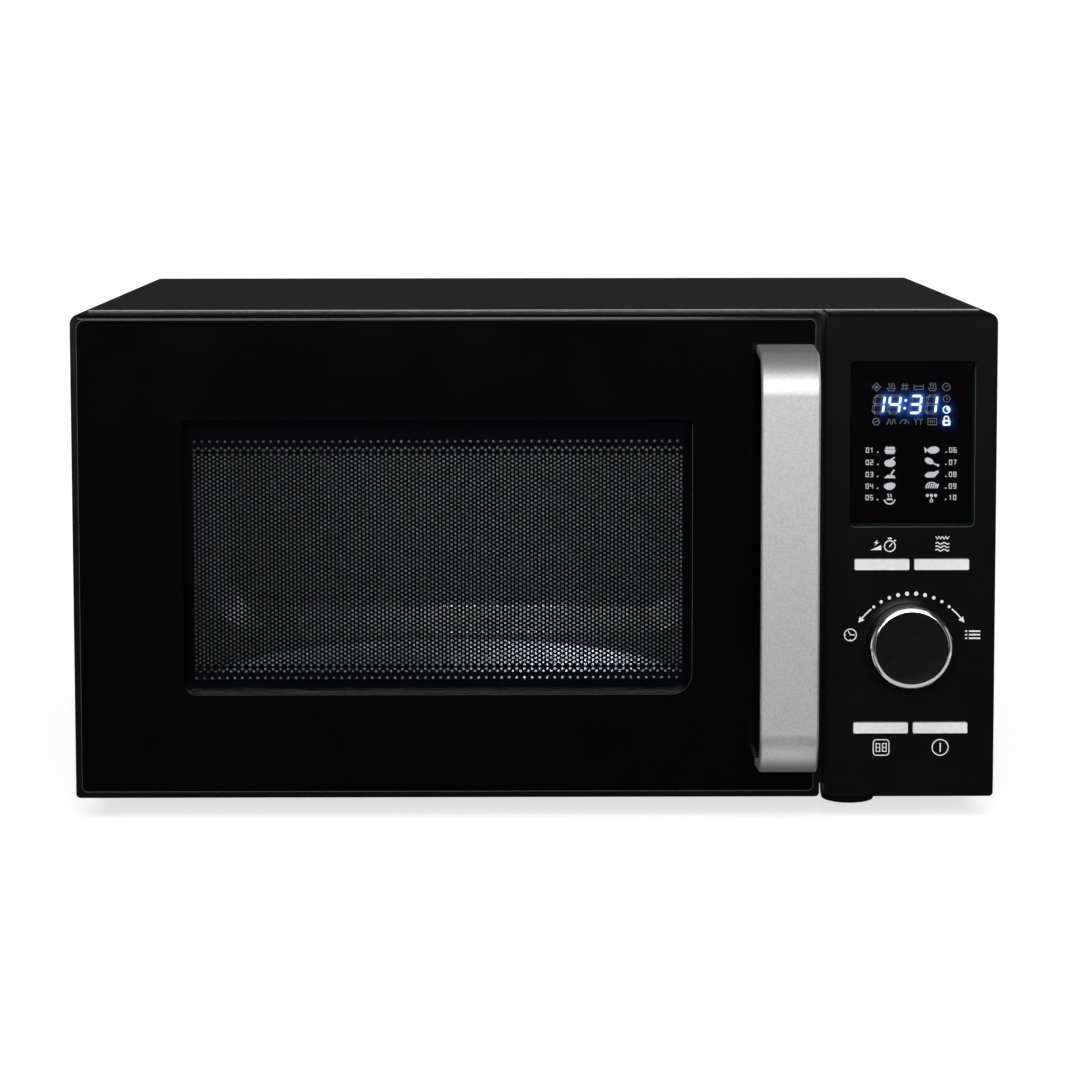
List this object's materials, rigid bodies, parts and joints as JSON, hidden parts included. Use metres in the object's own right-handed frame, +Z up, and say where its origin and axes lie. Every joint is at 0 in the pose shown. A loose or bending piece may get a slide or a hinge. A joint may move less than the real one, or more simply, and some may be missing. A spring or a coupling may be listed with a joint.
{
  "type": "microwave oven",
  "caption": "Countertop microwave oven with side-hinged glass-fronted door, bowed bar handle, turntable, grill, lit display, bar buttons and rotary knob.",
  "frame": {"origin": "middle of the footprint, on the surface the feet stand on", "axes": "+X to the right seen from the front, front faces -Y, +Z up"},
  "size_m": [0.539, 0.438, 0.3],
  "materials": {
    "outer_cover": "satin black paint",
    "base_plate": "zinc coated",
    "rear_panel": "zinc coated",
    "cord_grommet": "matt",
    "front_frame": "satin",
    "cavity_shell": "satin grey enamel",
    "cavity_back": "satin grey enamel",
    "waveguide": "zinc coated",
    "waveguide_cover": "matt",
    "magnetron_yoke": "zinc coated",
    "magnetron_core": "plain",
    "transformer_core": "varnished",
    "transformer_windings": "enamelled copper",
    "hv_capacitor": "plain",
    "hv_diode": "matt",
    "fan_motor": "laminated",
    "fan_blade": "plain",
    "fan_shroud": "matt",
    "turntable_motor": "zinc coated",
    "turntable_coupler": "matt",
    "glass_tray": "clear",
    "roller_ring": "matt",
    "roller_a": "matt",
    "roller_b": "matt",
    "roller_c": "matt",
    "oven_lamp": "frosted",
    "lamp_socket": "ceramic like",
    "grill_heater": "quartz",
    "grill_reflector": "bright",
    "thermal_cutoffs": "matt",
    "mains_filter": "board",
    "interlock_bracket": "matt",
    "interlock_switches": "matt",
    "control_fascia": "gloss black",
    "display_window": "smoked",
    "display_module": "lit display",
    "control_board": "board",
    "button_tl": "satin silver",
    "button_tr": "satin silver",
    "button_bl": "satin silver",
    "button_br": "satin silver",
    "knob_cap": "satin black",
    "knob_ring": "polished",
    "encoder": "plain",
    "door_frame": "black",
    "door_panel": "mirror black",
    "window_pane": "smoked",
    "door_screen": "satin black",
    "door_pan": "satin",
    "inner_film": "clear film",
    "choke_cover": "matt",
    "latch_hooks": "matt",
    "latch_spring": "bright",
    "door_handle": "satin silver",
    "handle_screws": "plain",
    "hinge_bottom": "zinc coated",
    "hinge_top": "zinc coated",
    "feet": "matt",
    "cover_screws": "blackened"
  },
  "bodies": {
    "cabinet": {"outer_cover": "outer_cover", "base_plate": "base_plate", "rear_panel": "rear_panel", "cord_grommet": "cord_grommet", "front_frame": "front_frame", "cavity_shell": "cavity_shell", "cavity_back": "cavity_back", "waveguide": "waveguide", "waveguide_cover": "waveguide_cover", "magnetron_yoke": "magnetron_yoke", "magnetron_core": "magnetron_core", "transformer_core": "transformer_core", "transformer_windings": "transformer_windings", "hv_capacitor": "hv_capacitor", "hv_diode": "hv_diode", "fan_motor": "fan_motor", "fan_shroud": "fan_shroud", "turntable_motor": "turntable_motor", "oven_lamp": "oven_lamp", "lamp_socket": "lamp_socket", "grill_heater": "grill_heater", "grill_reflector": "grill_reflector", "thermal_cutoffs": "thermal_cutoffs", "mains_filter": "mains_filter", "interlock_bracket": "interlock_bracket", "interlock_switches": "interlock_switches", "control_fascia": "control_fascia", "display_window": "display_window", "display_module": "display_module", "control_board": "control_board", "encoder": "encoder", "hinge_bottom": "hinge_bottom", "hinge_top": "hinge_top", "feet": "feet", "cover_screws": "cover_screws"},
    "door": {"door_frame": "door_frame", "door_panel": "door_panel", "window_pane": "window_pane", "door_screen": "door_screen", "door_pan": "door_pan", "inner_film": "inner_film", "choke_cover": "choke_cover", "latch_spring": "latch_spring", "door_handle": "door_handle", "handle_screws": "handle_screws"},
    "latch": {"latch_hooks": "latch_hooks"},
    "knob": {"knob_cap": "knob_cap", "knob_ring": "knob_ring"},
    "turntable": {"turntable_coupler": "turntable_coupler", "glass_tray": "glass_tray"},
    "roller_ring": {"roller_ring": "roller_ring"},
    "roller_a": {"roller_a": "roller_a"},
    "roller_b": {"roller_b": "roller_b"},
    "roller_c": {"roller_c": "roller_c"},
    "fan": {"fan_blade": "fan_blade"},
    "button_tl": {"button_tl": "button_tl"},
    "button_tr": {"button_tr": "button_tr"},
    "button_bl": {"button_bl": "button_bl"},
    "button_br": {"button_br": "button_br"}
  },
  "joints": [
    {"name": "door_hinge", "type": "hinge", "parent": "cabinet", "child": "door", "pos_m": [-0.2605, -0.154, 0.1575], "axis": [0, 0, -1], "range_deg": [0, 95]},
    {"name": "latch_lift", "type": "slide", "parent": "door", "child": "latch", "axis": [0, 0, 1], "range_m": [0, 0.004], "stiffness_N_per_m": 300, "springref_m": -0.006, "deforming": ["latch_spring"]},
    {"name": "knob_turn", "type": "hinge", "parent": "cabinet", "child": "knob", "pos_m": [0.2192, -0.19, 0.1056], "axis": [0, 1, 0], "continuous": true},
    {"name": "turntable_spin", "type": "hinge", "parent": "cabinet", "child": "turntable", "pos_m": [-0.0565, 0.018, 0.03], "axis": [0, 0, 1], "continuous": true},
    {"name": "ring_spin", "type": "hinge", "parent": "cabinet", "child": "roller_ring", "pos_m": [-0.0565, 0.018, 0.0333], "axis": [0, 0, 1], "continuous": true},
    {"name": "fan_spin", "type": "hinge", "parent": "cabinet", "child": "fan", "pos_m": [0.2015, 0.16, 0.191], "axis": [0, 1, 0], "continuous": true},
    {"name": "roller_a_spin", "type": "hinge", "parent": "roller_ring", "child": "roller_a", "pos_m": [0.03357, 0.07, 0.0333], "axis": [0.866, 0.5, 0], "continuous": true},
    {"name": "roller_b_spin", "type": "hinge", "parent": "roller_ring", "child": "roller_b", "pos_m": [-0.14657, 0.07, 0.0333], "axis": [-0.866, 0.5, 0], "continuous": true},
    {"name": "roller_c_spin", "type": "hinge", "parent": "roller_ring", "child": "roller_c", "pos_m": [-0.0565, -0.086, 0.0333], "axis": [0, -1, 0], "continuous": true},
    {"name": "button_tl_press", "type": "slide", "parent": "cabinet", "child": "button_tl", "axis": [0, 1, 0], "range_m": [0, 0.0015], "stiffness_N_per_m": 400, "springref_m": -0.0015},
    {"name": "button_tr_press", "type": "slide", "parent": "cabinet", "child": "button_tr", "axis": [0, 1, 0], "range_m": [0, 0.0015], "stiffness_N_per_m": 400, "springref_m": -0.0015},
    {"name": "button_bl_press", "type": "slide", "parent": "cabinet", "child": "button_bl", "axis": [0, 1, 0], "range_m": [0, 0.0015], "stiffness_N_per_m": 400, "springref_m": -0.0015},
    {"name": "button_br_press", "type": "slide", "parent": "cabinet", "child": "button_br", "axis": [0, 1, 0], "range_m": [0, 0.0015], "stiffness_N_per_m": 400, "springref_m": -0.0015}
  ],
  "couplings": [
    {"joint": "ring_spin", "follows": "turntable_spin", "ratio": 0.5},
    {"joint": "roller_a_spin", "follows": "turntable_spin", "ratio": -8.6667},
    {"joint": "roller_b_spin", "follows": "turntable_spin", "ratio": -8.6667},
    {"joint": "roller_c_spin", "follows": "turntable_spin", "ratio": -8.6667}
  ]
}
